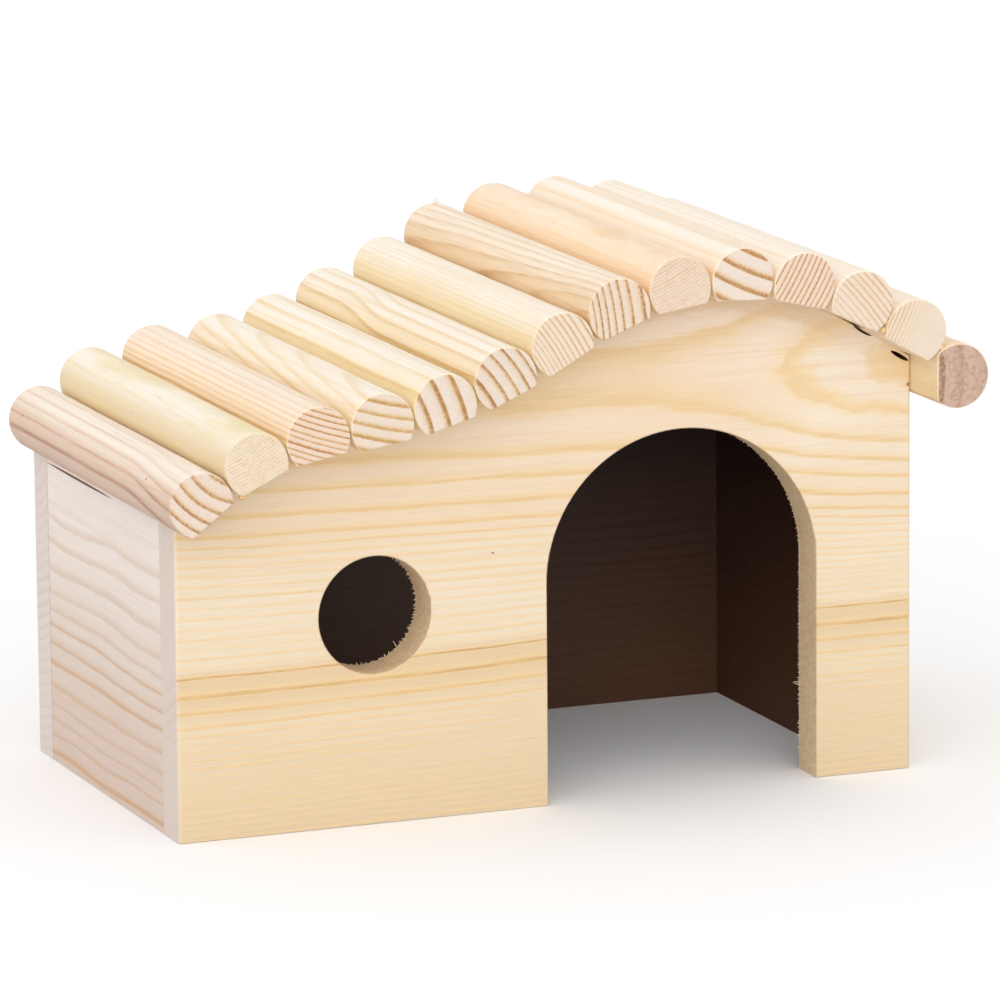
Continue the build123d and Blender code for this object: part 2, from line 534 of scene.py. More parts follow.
# what a log is like where its own look says nothing else
plainLog = {
    "bend": (0.0, 0.0, 1.0), "lean": 0.0, "sway": 1.6, "swayFrom": 14.0, "swayGrain": (0.07, 0.022, 0.07),
    "grade": 0.0, "shift": 0.0, "uneven": 0.3, "strength": (1.0, 1.0), "sideDark": (0.7, 0.4), "narrow": 1.0,
    "variety": 0.3, "dotted": 0.3, "mottle": 0.08, "mottleGrain": (1.1, 0.2, 1.1), "blotches": 0.2,
    "streaks": 0.3, "resin": 0.15, "endHalo": (228, 190, 136), "specks": (), "speckSize": 0.42,
    "speck": (0.476, 0.7, (120, 82, 58)),  # a pin knot's dark core as a share of it, strength, colour
    "roomSpan": (50.0, 31.0),  # middle and half depth of the room, in mm from a log's front end
}

# Every log from the low eave up: tilt of its flat, then its own stick of pine.
# bands is the angle that the rings cross the front end at, falling to the right;
# heart is how far off the tree's heart lies, across the rings.
# top and flank are the pine's colour with painted highlight on top and painted shade down the flanks
logLooks = {
    "roof_log_01": {
        "tilt": 37.6, "bands": 35, "heart": 14.5, "ringWidth": 2.32, "grade": 0.018, "shift": -0.09,
        "bend": (1.9, 0.0, 26.0), "sway": 0.8, "uneven": 0.0, "streaks": 0.6,
        "sideDark": (1.0, 0.25), "variety": 0.15, "strength": (1.0, 0.7),
        "specks": ((-4.4, 70.0, 64.1), (-4.1, 2.5, 64.8)),
        "top": (251, 239, 224), "flank": (234, 206, 186), "late": (186, 136, 112), "halo": (222, 184, 152),
        "endEarly": (241, 221, 205), "endLate": (170, 118, 84),
    },
    "roof_log_02": {
        "tilt": 24.7, "bands": -28, "heart": 40, "ringWidth": 0.62,
        "strength": (0.6, 0.6), "sway": 1.0, "resin": 0.4, "lean": 0.02, "blotches": 0.85, "streaks": 0.5,
        "dotted": 0.9, "mottle": 0.3, "ragged": 0.5,
        "top": (252, 242, 226), "flank": (236, 216, 182), "late": (218, 190, 134), "halo": (238, 218, 168),
        "endEarly": (243, 226, 204), "endLate": (228, 194, 134),
    },
    "roof_log_03": {
        "tilt": 10.8, "bands": 19, "heart": 70, "ringWidth": 1.06, "shift": 0.2,
        "sway": 0.8, "sideDark": (0.9, 0.3), "streaks": 0.5,
        "top": (251, 234, 216), "flank": (252, 231, 202), "late": (224, 180, 122), "halo": (238, 200, 152),
        "endEarly": (243, 218, 198), "endLate": (192, 136, 92),
    },
    "roof_log_04": {
        "tilt": 7.8, "bands": 14, "heart": 60, "ringWidth": 2.15, "shift": -0.32,
        "lean": 0.10, "uneven": 0.0, "streaks": 0.35,
        "top": (252, 241, 225), "flank": (249, 231, 202), "late": (222, 186, 128), "halo": (236, 206, 152),
        "endEarly": (241, 223, 204), "endLate": (198, 154, 94),
    },
    "roof_log_05": {
        "tilt": 15.2, "bands": 70, "heart": -30, "ringWidth": 3.3, "shift": -0.04,
        "uneven": 0.0, "sway": 0.7, "variety": 0.1, "narrow": 1.3, "streaks": 0.5, "sideDark": (0.9, 0.3),
        "top": (252, 243, 230), "flank": (248, 229, 190), "late": (224, 188, 128), "halo": (236, 206, 148),
        "endEarly": (241, 224, 208), "endLate": (178, 128, 80),
    },
    "roof_log_06": {
        "tilt": 22.7, "bands": 56, "heart": -28, "ringWidth": 2.25, "grade": 0.02, "shift": 0.54,
        "bend": (2.4, 46.0, 70.0), "uneven": 0.0, "sway": 0.7, "variety": 0.25, "narrow": 1.2, "streaks": 0.4,
        "top": (252, 241, 226), "flank": (246, 226, 188), "late": (214, 174, 112), "halo": (230, 196, 138),
        "endEarly": (239, 222, 206), "endLate": (168, 120, 80),
    },
    "roof_log_07": {
        "tilt": 28.9, "bands": 58, "heart": -45, "ringWidth": 0.934, "grade": -0.02,
        "strength": (0.7, 1.0), "sway": 0.6, "sideDark": (0.5, 0.2), "streaks": 0.4,
        "top": (252, 242, 227), "flank": (246, 227, 188), "late": (222, 190, 132), "halo": (234, 204, 150),
        "endEarly": (244, 226, 206), "endLate": (206, 162, 114),
    },
    "roof_log_08": {
        "tilt": 20.9, "bands": 81, "heart": -55, "ringWidth": 1.55, "grade": -0.045, "shift": -0.47,
        "lean": -0.042, "uneven": 0.0, "resin": 0.3, "variety": 0.2, "dotted": 0.4, "streaks": 0.5,
        "top": (251, 236, 216), "flank": (240, 211, 174), "late": (206, 160, 110), "halo": (226, 188, 140),
        "endEarly": (241, 220, 200), "endLate": (172, 122, 82),
    },
    "roof_log_09": {
        "tilt": 9.2, "bands": -27, "heart": 38, "ringWidth": 0.62,
        "strength": (0.45, 0.8), "sideDark": (0.3, 0.15), "resin": 0.25, "blotches": 0.8, "streaks": 0.5,
        "dotted": 0.6, "ragged": 0.4, "mottle": 0.2,
        "top": (252, 233, 208), "flank": (248, 217, 178), "late": (228, 182, 128), "halo": (240, 200, 150),
        "endEarly": (241, 219, 200), "endLate": (206, 160, 130),
    },
    "roof_log_10": {
        "tilt": -2.5, "bands": 25, "heart": 45, "ringWidth": 3.1, "shift": -0.54,
        "uneven": 0.0, "sway": 0.7, "sideDark": (0.5, 0.4), "variety": 0.1, "narrow": 1.2,
        "top": (252, 242, 228), "flank": (250, 231, 205), "late": (232, 196, 148), "halo": (244, 212, 168),
        "endEarly": (243, 226, 212), "endLate": (182, 132, 82),
    },
    "roof_log_11": {
        "tilt": -14.2, "bands": -60, "heart": 60, "ringWidth": 0.98,
        "sway": 0.8, "resin": 0.3, "sideDark": (0.4, 0.3), "variety": 0.2,
        "top": (252, 242, 228), "flank": (250, 231, 205), "late": (234, 196, 152), "halo": (242, 208, 166),
        "endEarly": (244, 219, 200), "endLate": (190, 138, 102),
    },
    "roof_log_12": {
        "tilt": -25.9, "bands": 50, "heart": -60, "ringWidth": 1.02,
        "strength": (0.4, 1.0), "sideDark": (0.5, 0.3),
        "top": (252, 241, 226), "flank": (250, 231, 207), "late": (234, 200, 158), "halo": (242, 212, 170),
        "endEarly": (243, 223, 205), "endLate": (214, 172, 126),
    },
    "roof_log_13": {
        "tilt": -30.0, "bands": -64, "heart": 60, "ringWidth": 0.76,
        "strength": (-0.8, 1.1), "sideDark": (0.5, 0.3),
        "top": (251, 236, 218), "flank": (246, 224, 198), "late": (228, 192, 152), "halo": (240, 208, 168),
        "endEarly": (241, 222, 200), "endLate": (216, 178, 142),
    },
    "roof_log_14": {
        "tilt": -90.0, "bands": 90, "heart": -26, "ringWidth": 3.7, "shift": -0.31,
        "ragged": 0.22, "strength": (1.2, 0.0), "variety": 0.1, "resin": 0.45, "mottle": 0.45, "dotted": 0.55,
        "blotches": 0.5, "uneven": 0.0,
        # its flank faces down into shade and is painted brighter to make up for it: painted light
        "top": (251, 230, 200), "flank": (255, 240, 206), "late": (222, 182, 128), "halo": (238, 206, 160),
        "endEarly": (211, 180, 161), "endLate": (150, 108, 82), "endHalo": (188, 150, 124),
    },
}


def deselectAll():
    if bpy.context.object and bpy.context.object.mode != "OBJECT":
        setMode("OBJECT")
    bpy.ops.object.select_all(action="DESELECT")


def makeActive(piece):
    deselectAll()
    piece.select_set(True)
    bpy.context.view_layer.objects.active = piece


def setMode(mode):
    bpy.ops.object.mode_set(mode=mode)


def pickAll():
    bpy.ops.mesh.select_all(action="SELECT")


def applyTransform():
    bpy.ops.object.transform_apply(location=True, rotation=True, scale=True)


def modify(piece, name, kind, **settings):
    modifier = piece.modifiers.new(name, kind)
    for key, value in settings.items():
        setattr(modifier, key, value)
    bpy.ops.object.modifier_apply(modifier=modifier.name)


def lumpTexture(name, size):
    texture = bpy.data.textures.new(name, "CLOUDS")
    texture.noise_scale = size
    return texture


def pickEdges(piece, wanted):
    # leaves edit mode on with just the wanted edges selected
    setMode("OBJECT")
    mesh = piece.data
    for part in (mesh.vertices, mesh.edges, mesh.polygons):
        part.foreach_set("select", [False] * len(part))
    for edge in mesh.edges:
        first, second = (mesh.vertices[index].co for index in edge.vertices)
        if wanted(first, second):
            edge.select = True
    setMode("EDIT")
    bpy.ops.mesh.select_mode(type="EDGE")


def roundEdges(piece, wanted, size, segments):
    pickEdges(piece, wanted)
    bpy.ops.mesh.bevel(offset=size, segments=segments, affect="EDGES")


def settle(piece, smoothAngle=35):
    # smooth shading that keeps the broad faces flat, then the object back on the house's own origin
    makeActive(piece)
    bpy.ops.object.shade_smooth_by_angle(angle=math.radians(smoothAngle))
    modify(piece, "broad faces win", "WEIGHTED_NORMAL", keep_sharp=True)
    applyTransform()


def turnLog(name, look, shape):
    low, high = (Vector(c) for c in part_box(name))
    radius, near = shape["radius"], shape["near"]
    upright = look["tilt"] < -45
    cut = shape["eaveFlatCut" if upright else "flatCut"]
    centre = Vector((high.x - radius, (low.y + high.y) / 2, high.z - radius))
    length = high.y - low.y
    tilt = math.radians(look["tilt"])
    # spun so that the flat's plane falls between two facets
    spin = 0 if upright else math.pi / shape["sides"]
    deselectAll()
    bpy.ops.mesh.primitive_cylinder_add(
        vertices=shape["sides"], radius=radius - shape["trim"], depth=length + shape["spare"],
        end_fill_type="NGON", location=centre, rotation=(math.pi / 2, tilt + spin, 0),
    )
    log = bpy.context.object
    log.name = name.replace("roof_log", "roofLog")
    applyTransform()
    # turned a little uneven, as the lathe left it
    pickEdges(log, lambda a, b: abs(a.y - b.y) > length / 2)
    bpy.ops.mesh.subdivide(number_cuts=shape["lengthCuts"])
    setMode("OBJECT")
    lumps = lumpTexture("lumps" + name[-2:], shape["lumpSize"])
    modify(
        log, "lathe lumps", "DISPLACE", texture=lumps, texture_coords="GLOBAL", strength=shape["lumps"],
        mid_level=1.0,
    )
    # plane the flat off and saw both ends
    down = Vector((math.sin(tilt), 0, -math.cos(tilt)))
    front = Vector((0, -1, 0))
    reach = length / 2 - shape["trim"]
    setMode("EDIT")
    for planePoint, planeFacing in (
        (centre + down * (radius - cut), down),
        (centre + front * reach, front),
        (centre - front * reach, -front),
    ):
        pickAll()
        bpy.ops.mesh.bisect(plane_co=planePoint, plane_no=planeFacing, clear_outer=True, use_fill=True)
    pickAll()
    bpy.ops.mesh.remove_doubles(threshold=shape["weld"])
    pickAll()
    bpy.ops.mesh.fill_holes(sides=0)
    pickAll()
    bpy.ops.mesh.normals_make_consistent(inside=False)

    # ease the two long arrises of the flat, then both rims
    def longArris(a, b):
        onFlat = min((a - centre).dot(down), (b - centre).dot(down)) > radius - cut - near
        return onFlat and abs(a.y - b.y) > 0.1 * mm

    roundEdges(log, longArris, shape["flatRound"], 2)
    roundEdges(log, lambda a, b: max(a.y, b.y) < centre.y - reach + near, shape["frontRound"], 3)
    roundEdges(log, lambda a, b: min(a.y, b.y) > centre.y + reach - near, shape["backRound"], 4)
    setMode("OBJECT")
    settle(log)
    log.data.materials.append(dowelPine("pine" + name[-2:], look, centre + front * reach))
    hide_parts(name)
    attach(log, "root")
    return log


# the boards' end grain at the low eave, and at the high one
lowEnds = {"early": (236, 221, 214), "late": (210, 188, 174)}
highEnds = {"early": (238, 214, 178), "late": (210, 176, 132)}

frontLook = {
    "middle": 70.0,
    "heartHeight": 76.0,  # of the tree's heart, which runs along behind the board
    # how far behind the face the heart runs, from the low end to the high one
    "heartDepth": (
        (0, 31.3), (15, 30.7), (58, 30.1), (90, 29.8), (104, 29.3), (114, 28.3), (120, 27.5), (128, 26.7),
        (140, 25.9),
    ),
    # rings counted outwards from the heart, at their distance from it
    "ringCount": (
        (20, -5), (26.6, -2), (28.2, -1), (30.5, 0), (32.5, 1), (34.3, 2), (36.5, 3), (38.3, 4), (41.5, 7),
        (53.9, 17), (55.4, 18), (58.4, 19), (60.8, 20), (62.9, 21), (71.8, 28), (81, 36), (90, 44),
    ),
    # how dark each year's band is
    "ringDark": (
        (20, 0.3), (26, 0.4), (26.8, 0.5), (28.4, 0.46), (29.5, 0.85), (32.5, 0.9), (33.2, 0.58),
        (34.4, 0.58), (35.2, 0.8), (36.6, 0.8), (37.4, 1.0), (38.4, 1.0), (39.4, 0.7), (42, 0.55),
        (53.5, 0.46), (54.4, 0.85), (56.2, 1.0), (58.5, 1.0), (59.2, 0.9), (61, 0.8), (63, 0.6),
        (70, 0.5), (90, 0.55),
    ),
    # how far the wood between the strongest bands is stained through
    "dense": (
        (50, 0.0), (53.9, 0.0), (54.4, 0.49), (55.6, 0.7), (58.8, 0.7), (59.2, 0.6), (61, 0.38), (62.9, 0.0),
        (70, 0.0),
    ),
    "lift": ((0, -1.5), (58, 0.0), (130, 3.5), (140, 3.8)),  # of the low rings, along the board
    "liftFade": (46.0, 30.0),  # at these heights
    "wave": 0.9,  # mm that the rings stray
    "waveGrain": (0.06, 0.02, 0.06),
    "ripple": (31.0, 27.5, 0.0, 1.4),  # comes in between these rings, from this much to that
    "rippleGrain": (0.28, 0.16, 0.28),
    "coloursTo": 90.0,  # this high
    "colours": (
        # up the board from its bottom edge: the pine's tone, with painted shade darkening the bottom and
        # painted light paling it towards the crest against the logs' shade
        (0.0, (231, 207, 171)), (0.10, (237, 214, 179)), (0.30, (243, 225, 195)), (0.45, (246, 230, 205)),
        (0.60, (246, 224, 195)), (0.80, (251, 228, 202)), (1.0, (255, 238, 219)),
    ),
    "figure": 26.4,  # inside this ring the heart side shows, tan
    # the tan is lifted to offset the logs' shade over it: painted light
    "figureColour": (255, 228, 182),
    "figureEdge": (255, 224, 168),
    "paleCorner": (255, 244, 226),  # high on the high end
    "paleAcross": (104.0, 122.0),
    "paleUp": (50.0, 68.0, 0.0, 0.6),
    "denseYears": (232, 199, 154),  # stained through where the bands are darkest
    "halo": (247, 215, 163),
    "blotch": (238, 206, 160),
    "late": (226, 186, 128),
    "lateCore": (196, 146, 96),
    "sawn": (255, 217, 177),
    "sawnShares": (0.92, 1.06),  # mottled from this much of that colour to this much
    "sawnGrain": (1.5, 1.5, 0.6),
    "lowEnd": {"early": (232, 216, 207), "late": (206, 184, 170)},
    "fleck": (0.4, 0.75, (132, 88, 56)),
    "flecks": ((59.2, 46.7, 0.30), (139.5, 70.6, 0.55)),  # pin knots: across, up, radius
    "crest": (99.6, 35.3, 53.6),  # middle and radius of the roof's crest arc
    # chipped out of the top edge
    "chips": (
        {"middle": (130.5, 4.0, 81.1), "halfSizes": (2.2, 14.0, 0.45), "lean": 32},
        {"middle": (137.8, 4.0, 75.9), "halfSizes": (2.1, 14.0, 0.4), "lean": 31},
    ),
    "chipFade": (2.6, 2.3),
    # the chips' walls are coloured dark brown: painted shade in the gouges
    "chipPaintedShade": (150, 88, 64),
    "glueRun": ((86, 91), (128, 123)),
    "glueFilm": 0.65,
    "glue": (238, 207, 168),
    "glueCrumb": (250, 240, 224),
    "smearGrain": (0.35, 0.35, 0.6),
    "crumbGrain": (2.2, 2.2, 2.2),
}


def endGrain(tree, along, middle, lows):
    highHalf = mapRange(tree, along, middle - 10.0, middle + 10.0)
    return [mixColour(tree, highHalf, tint(lows[key]), tint(highEnds[key])) for key in ("early", "late")]


def frontBoardPine(look):
    material, tree = newMaterial("frontBoardPine")
    place, normal = grainSpace(tree, corner)
    x, y, z = splitVector(tree, place)
    grain = joinVector(tree, z, x, y)  # it runs along x here, and the shared groups want it as y
    depth = minus(tree, curve(tree, x, 0, 140, look["heartDepth"], 20, 40), y)
    lift = curve(tree, x, 0, 140, look["lift"], -5, 5)
    lift = times(tree, lift, fade(tree, z, *look["liftFade"]))
    height = minus(tree, minus(tree, z, lift), look["heartHeight"])
    distance = vectorNode(tree, "LENGTH", joinVector(tree, depth, height, 0.0))
    wave = wander(tree, grain, look["waveGrain"], 3, 0.55)
    distance = timesPlus(tree, wave, look["wave"], distance)
    # the rings nearest the heart run ragged where the face just grazes them
    ripple = wander(tree, grain, look["rippleGrain"], 3, 0.6)
    distance = timesPlus(tree, ripple, fade(tree, distance, *look["ripple"]), distance)
    count = curve(tree, distance, 20, 90, look["ringCount"], -5, 45)
    dark = curve(tree, distance, 20, 90, look["ringDark"], 0, 1)
    band = useGroup(
        tree, ringGroup, Place=count, Grain=grain, Strength=dark, Ragged=0.2, Variety=0.45, Dotted=0.2,
        Seed=3.0,
    )["Band"]
    # painted shade low down and painted light towards the crest, over the pine's tone
    stops = [(at, tint(chip)) for at, chip in look["colours"]]
    body = ramp(tree, mathNode(tree, "DIVIDE", z, look["coloursTo"]), stops)
    pale = times(tree, fade(tree, x, *look["paleAcross"]), fade(tree, z, *look["paleUp"]))
    body = mixColour(tree, pale, body, tint(look["paleCorner"]))
    dense = curve(tree, distance, 50, 70, look["dense"])
    body = mixColour(tree, dense, body, tint(look["denseYears"]))
    figure = look["figure"]
    inFigure = fade(tree, distance, figure + 0.15, figure - 0.25)
    body = mixColour(tree, inFigure, body, tint(look["figureColour"]))
    outOfIt = fade(tree, distance, figure + 0.7, figure + 1.4)
    closeBy = fade(tree, distance, figure + 2.4, figure + 1.5, 0.0, 0.6)
    body = mixColour(tree, times(tree, outOfIt, closeBy), body, tint(look["figureEdge"]))
    late = tint(look["late"])
    late = ramp(tree, band, [(0.0, late), (0.75, late), (1.0, tint(look["lateCore"]))])
    # sawn edges: the two ends of the board, and the walls of the openings
    sawn = fade(tree, facingAlong(tree, normal, (0, 1, 0)), 0.75, 0.4)
    fromCentre = mathNode(tree, "ABSOLUTE", minus(tree, x, look["middle"]))
    inOpening = mathNode(tree, "LESS_THAN", fromCentre, look["middle"] - 2.0)
    torn = mapRange(tree, noise(tree, grain, look["sawnGrain"], 4, 0.7), 0.3, 0.7)
    dull, bright = (tint([min(c * share, 255) for c in look["sawn"]]) for share in look["sawnShares"])
    sawnWood = mixColour(tree, torn, dull, bright)
    ends = endGrain(tree, x, look["middle"], look["lowEnd"])
    ends = [mixColour(tree, inOpening, end, sawnWood) for end in ends]
    band = times(tree, band, mapRange(tree, sawn, 0.0, 1.0, 1.0, 0.25))
    wood = useGroup(
        tree, pineGroup, Grain=grain, Band=band, End=sawn, Early=body, Late=late, End_early=ends[0],
        End_late=ends[1], Halo=tint(look["halo"]), Blotch=tint(look["blotch"]), Blotch_amount=0.2,
        Streak_amount=0.35, Resin_amount=0.12,
    )
    # dried glue, wiped along the edge under the crest
    crestX, crestZ, crestRadius = look["crest"]
    fromCrest = fromAxis(tree, place, (crestX, 0.0, crestZ))
    smear = noise(tree, place, look["smearGrain"], 3, 0.6)
    film = fade(tree, timesPlus(tree, smear, 3.0, fromCrest), crestRadius - 1.2, crestRadius)
    for reach in look["glueRun"]:
        film = times(tree, film, fade(tree, x, *reach))
    crumb = fade(tree, noise(tree, place, look["crumbGrain"], 2, 0.6), 0.60, 0.66)
    glue = mixColour(tree, crumb, *tints(look, "glue", "glueCrumb"))
    colour = mixColour(tree, times(tree, film, look["glueFilm"]), wood["Colour"], glue)
    for across, up, radius in look["flecks"]:
        colour = pinKnot(tree, colour, place, (across, 0.0, up), radius, look["fleck"])
    # the gouges' walls are coloured dark: painted shade
    for chip in look["chips"]:
        fromChip = fromAxis(tree, place, chip["middle"])
        inChipShade = times(tree, mapRange(tree, fromChip, *look["chipFade"]), sawn)
        colour = mixColour(tree, inChipShade, colour, tint(look["chipPaintedShade"]))
    # painted shade on the faces inside the room
    colour = paintInsideShade(tree, normal, (0, 1, 0), colour)
    return finishMaterial(material, colour, wood["Roughness"], wood["Height"])


boardLooks = {
    "back_panel": {
        "along": "x", "inward": (0, -1, 0), "heart": (70.0, 84.0, 66.0), "seed": 21,
        "ringCount": ((0, 0), (20, 6), (40, 15), (60, 25), (80, 35)),
        "ringDark": ((0, 0.6), (30, 0.5), (42, 0.9), (46, 0.5), (80, 0.5)),
        "low": (238, 214, 178), "high": (246, 226, 198), "late": (220, 180, 124),
    },
    "left_side_panel": {
        "along": "y", "inward": (1, 0, 0), "heart": (40.0, 0.0, 70.0), "seed": 22,
        "ringCount": (
            (36, -5), (46.8, 0), (49.4, 1), (52.6, 2), (55.7, 3), (58.1, 4), (60.3, 5), (63, 6), (65.8, 7),
            (69.5, 8), (72.3, 9), (74.5, 10), (76.8, 11), (80, 12), (85, 14),
        ),
        "ringDark": (
            (36, 0.0), (45.2, 0.05), (45.8, 0.3), (57, 0.4), (58.5, 0.65), (60.2, 0.65), (61, 0.55),
            (63, 0.65), (64, 0.8), (66, 0.8), (67, 0.6), (76, 0.6), (77.5, 1.0), (85, 1.0),
        ),
        "low": (229, 208, 193), "high": (255, 244, 237), "late": (222, 180, 142), "narrow": 1.5,
        "chips": ({"middle": (0.0, 51.5, 55.2), "halfSizes": (0.8, 16.5, 0.22), "lean": 0},),
        # the groove's wall is coloured darker: painted shade
        "chipPaintedShade": (186, 160, 136),
    },
    "right_side_panel": {
        "along": "y", "inward": (-1, 0, 0), "heart": (98.0, 0.0, 92.0), "seed": 23,
        "ringCount": ((30, 0), (50, 7), (70, 16), (90, 26), (105, 34)),
        "ringDark": ((30, 0.5), (60, 0.45), (74, 0.9), (78, 0.5), (105, 0.5)),
        "low": (236, 212, 178), "high": (244, 224, 198), "late": (216, 178, 128),
    },
}


def boardPine(name, look):
    material, tree = newMaterial(name)
    heart = Vector(look["heart"])
    alongX = look["along"] == "x"
    grain, normal = grainSpace(tree, corner + heart * mm, (0, 0, -math.pi / 2 if alongX else 0))
    seed = float(look["seed"])
    seeded = vectorNode(tree, "ADD", grain, (seed * 13, seed * 7, 0.0))
    distance = vectorNode(tree, "LENGTH", vectorNode(tree, "MULTIPLY", grain, (1, 0, 1)))
    distance = timesPlus(tree, wander(tree, seeded, (0.06, 0.03, 0.06), 3), 2.6, distance)
    near, far = look["ringCount"][0][0], look["ringCount"][-1][0]
    place = curve(tree, distance, near, far, look["ringCount"], -6, 40)
    dark = curve(tree, distance, near, far, look["ringDark"], 0, 1)
    end = fade(tree, facingAlong(tree, normal, (1, 0, 0) if alongX else (0, 1, 0)), 0.5, 0.85)
    dark = times(tree, dark, mapRange(tree, end, 0.0, 1.0, 1.0, 0.3))
    band = useGroup(
        tree, ringGroup, Place=place, Grain=seeded, Strength=dark, Variety=0.35, Ragged=0.15,
        Narrow=look.get("narrow", 1.0), Seed=seed,
    )["Band"]
    along, up = splitVector(tree, grain)[1:]
    # paler high up and darker towards the floor: the board's tone with painted shade low down
    early = mixColour(tree, fade(tree, up, -heart.z, -8.0), *tints(look, "low", "high"))
    endEarly, endLate = endGrain(tree, along, 0.0, lowEnds)
    late = tint(look["late"])
    wood = useGroup(
        tree, pineGroup, Grain=seeded, Band=band, End=end, Early=early, Late=late, End_early=endEarly,
        End_late=endLate, End_halo=endLate, Blotch=late, Blotch_amount=0.1, Streak_amount=0.2,
        Halo=tint([(a + b) / 2 for a, b in zip(look["late"], look["low"])]), Resin_amount=0.1,
    )
    colour = wood["Colour"]
    # the groove's wall is coloured darker: painted shade
    for chip in look.get("chips", ()):
        fromChip = vectorNode(tree, "SUBTRACT", grain, tuple(Vector(chip["middle"]) - heart))
        fromChip = vectorNode(tree, "LENGTH", vectorNode(tree, "DIVIDE", fromChip, chip["halfSizes"]))
        inChipShade = mapRange(tree, fromChip, 1.15, 1.05)
        colour = mixColour(tree, inChipShade, colour, tint(look["chipPaintedShade"]))
    # painted shade on the faces inside the room
    colour = paintInsideShade(tree, normal, look["inward"], colour)
    return finishMaterial(material, colour, wood["Roughness"], wood["Height"])


def refineBoard(node, material, arris, chips=()):
    # the CAD board's own shape, joined up and with every arris eased
    deselectAll()
    board = frame["nodes"][node].copy()
    board.data = frame["nodes"][node].data.copy()
    for key in list(board.keys()):
        if key.startswith("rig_"):
            del board[key]
    bpy.context.scene.collection.objects.link(board)
    board.name = node.replace("_panel", "Board").replace("_side", "Side")
    makeActive(board)
    setMode("EDIT")
    pickAll()
    bpy.ops.mesh.remove_doubles(threshold=0.001 * mm)
    bpy.ops.mesh.dissolve_limited(angle_limit=math.radians(1))
    setMode("OBJECT")
    for chip in chips:
        # a gouge along the top edge
        deselectAll()
        bpy.ops.mesh.primitive_uv_sphere_add(segments=24, ring_count=12, radius=mm)
        gouge = bpy.context.object
        gouge.location = corner + Vector(chip["middle"]) * mm
        gouge.scale = chip["halfSizes"]
        gouge.rotation_euler = (0, math.radians(chip["lean"]), 0)
        makeActive(board)
        modify(board, "chip", "BOOLEAN", object=gouge, operation="DIFFERENCE")
        bpy.data.objects.remove(gouge)
    modify(
        board, "eased arrises", "BEVEL", width=arris, segments=2, limit_method="ANGLE",
        angle_limit=math.radians(50),
    )
    board.data.materials.clear()
    board.data.materials.append(material)
    settle(board, 50)
    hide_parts(node)
    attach(board, "root")
    return board


# torn fibres: each root is a point on an edge and the way it points, in mm from the low front corner
fringeLooks = {
    "windowFringe": {
        "arc": ((37.0, 8.0, 37.5), 10.5, -100, 80, 60), "length": (0.22, 0.6), "thickness": 0.13, "seed": 4,
        "roots": (((43.9, 7.9, 29.6), (-0.5, 0.1, 0.85), 1.5),),
    },
    "doorFringe": {
        "arc": ((95.5, 8.0, 40.0), 26.0, 0, 75, 60), "length": (0.15, 0.42), "thickness": 0.12, "seed": 9,
        "straight": ((121.5, 8.0, 3.0), (121.5, 8.0, 40.0), 70),
        "roots": (((121.5, 7.9, 15.4), (-0.9, 0.0, 0.45), 1.6), ((121.5, 7.9, 15.9), (-0.6, 0.1, 0.1), 1.1)),
    },
    "crestTuft": {
        "length": (0.5, 1.0), "thickness": 0.12, "seed": 2,
        "roots": (
            ((79.3, 78.5, 95.9), (-0.35, 0.0, 1.0), 1.1), ((79.5, 78.4, 95.95), (0.05, 0.1, 1.0), 1.5),
            ((79.7, 78.5, 95.9), (0.3, 0.0, 0.9), 1.2), ((79.9, 78.3, 95.85), (0.6, -0.1, 0.8), 0.9),
        ),
    },
}


def strayRoots(look, luck):
    # roots strung along the arc and the straight edge, each with a way to point and a length
    stray = luck.uniform
    if "arc" in look:
        centre, radius, start, stop, count = look["arc"]
        for step in range(count):
            angle = math.radians(start + (stop - start) * (step + luck.random()) / count)
            outward = Vector((math.cos(angle), 0, math.sin(angle)))
            way = -outward + Vector((stray(-0.5, 0.5), stray(-0.1, 0.2), stray(-0.5, 0.5)))
            root = Vector(centre) + outward * radius + Vector((0, stray(-0.5, -0.05), 0))
            yield root, way, stray(*look["length"])
    if "straight" in look:
        low, high, count = look["straight"]
        for step in range(count):
            root = Vector(low).lerp(Vector(high), (step + luck.random()) / count)
            way = Vector((-1, stray(-0.1, 0.2), stray(-0.7, 0.7)))
            yield root + Vector((0, stray(-0.5, -0.05), 0)), way, stray(*look["length"])


def growFringe(name, look, material):
    roots = [(Vector(root), Vector(way), length) for root, way, length in look["roots"]]
    roots += strayRoots(look, random.Random(look["seed"]))
    deselectAll()
    for root, way, length in roots:
        way.normalize()
        bpy.ops.mesh.primitive_cone_add(
            vertices=5, radius1=look["thickness"] * mm, radius2=0.02 * mm, depth=length * mm,
            end_fill_type="NGON", location=corner + (root + way * length * 0.35) * mm,
            rotation=way.to_track_quat("Z", "Y").to_euler(),
        )
        fibre = bpy.context.object
        fibre["fringe"] = name
    deselectAll()
    for fibre in [piece for piece in bpy.data.objects if piece.get("fringe") == name]:
        fibre.select_set(True)
        bpy.context.view_layer.objects.active = fibre
    bpy.ops.object.join()
    fringe = bpy.context.object
    del fringe["fringe"]
    fringe.name = name
    setMode("EDIT")
    pickAll()
    bpy.ops.mesh.subdivide(number_cuts=1)
    bpy.ops.transform.vertex_random(offset=0.02 * mm, seed=look["seed"])
    setMode("OBJECT")
    settle(fringe, 30)
    fringe.data.materials.append(material)
    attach(fringe, "root")


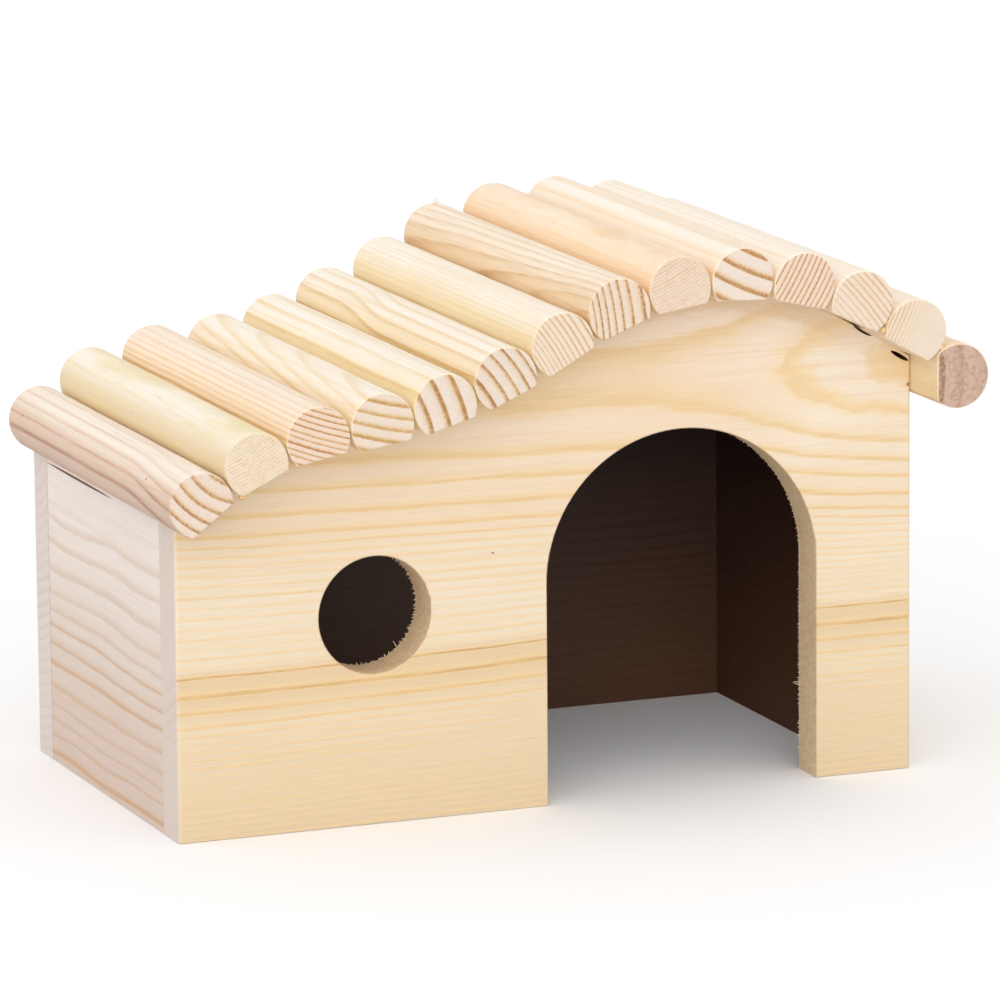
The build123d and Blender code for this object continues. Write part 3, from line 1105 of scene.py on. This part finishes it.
# glue squeezed out between the logs, and a crumb of it low on the second: place, size in mm
beadLooks = {
    "glueBead_1": ((129.7, -10.7, 82.9), (0.55, 0.7, 0.6)),
    "glueBead_2": ((130.2, -10.8, 84.4), (0.4, 0.6, 0.5)),
    "glueBead_3": ((130.6, -10.9, 85.7), (0.35, 0.5, 0.5)),
    "glueBead_4": ((141.1, -10.6, 79.0), (0.7, 0.8, 0.8)),
    "glueBead_5": ((8.9, -10.6, 62.8), (0.75, 0.8, 0.45)),
}


def dropBead(name, spot, size, material):
    deselectAll()
    bpy.ops.mesh.primitive_ico_sphere_add(subdivisions=3, radius=mm, location=corner + Vector(spot) * mm)
    bead = bpy.context.object
    bead.name = name
    bead.scale = size
    applyTransform()
    lumps = lumpTexture(name + "Lumps", 0.7 * mm)
    modify(bead, "uneven bead", "DISPLACE", texture=lumps, texture_coords="GLOBAL", strength=0.35 * mm)
    settle(bead, 60)
    bead.data.materials.append(material)
    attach(bead, "root")


def plainTexture(name, dull, bright, roughness):
    # no rings in pieces this small, just a mottle of two tones
    material, tree = newMaterial(name)
    mottle = noise(tree, grainSpace(tree, corner)[0], (0.9, 0.9, 0.9), 3, 0.6)
    colour = mixColour(tree, mapRange(tree, mottle, 0.35, 0.65), tint(dull), tint(bright))
    return finishMaterial(material, colour, roughness, mottle)


floorLook = {
    "size": 8,
    "paper": (0.97, 0.97, 0.98, 1),
    "glow": 0.06,  # lit a little from below
    "bounced": (0.62, 0.62, 0.62, 1),  # what the house gets back from it
    "below": 0.1 * mm,
}


def layFloor(look):
    deselectAll()
    bpy.ops.mesh.primitive_plane_add(size=look["size"], location=(0, 0, -look["below"]))
    floor = bpy.context.object
    floor.name = "floor"
    material, tree = newMaterial("whiteFloor")
    seen = newNode(tree, "ShaderNodeAddShader")
    paper = shaderNode(tree, "BsdfDiffuse", Color=look["paper"])
    plugAll(tree, (paper, shaderNode(tree, "Emission", Strength=look["glow"])), seen.inputs)
    bounced = shaderNode(tree, "BsdfDiffuse", Color=look["bounced"])
    fromCamera = newNode(tree, "ShaderNodeLightPath").outputs["Is Camera Ray"]
    shaderNode(tree, "OutputMaterial", Surface=mixShaders(tree, fromCamera, bounced, seen.outputs[0]))
    floor.data.materials.append(material)


deselectAll()
bpy.context.scene.view_settings.view_transform = "Standard"
bpy.context.tool_settings.mesh_select_mode = (False, True, False)  # edges, from the first log on
placeCamera(cameraLook)
lightStudio(studioLook)
layFloor(floorLook)
print("camera, light and floor done")

ringGroup = makeRingGroup(ringLook)
pineGroup = makePineGroup(pineLook)
for name, look in logLooks.items():
    turnLog(name, look, logShape)
print("logs done")

refineBoard("front_panel", frontBoardPine(frontLook), 0.2 * mm, frontLook["chips"])
for name, look in boardLooks.items():
    refineBoard(name, boardPine(name.replace("_panel", "Pine"), look), 0.04 * mm, look.get("chips", ()))
print("boards done")

tornWood = plainTexture("tornWood", (214, 186, 152), (248, 232, 206), 0.7)
for name, look in fringeLooks.items():
    growFringe(name, look, tornWood)
driedGlue = plainTexture("driedGlue", (224, 184, 124), (242, 214, 164), 0.35)
for name, (spot, size) in beadLooks.items():
    dropBead(name, spot, size, driedGlue)
print("splinters and glue done")
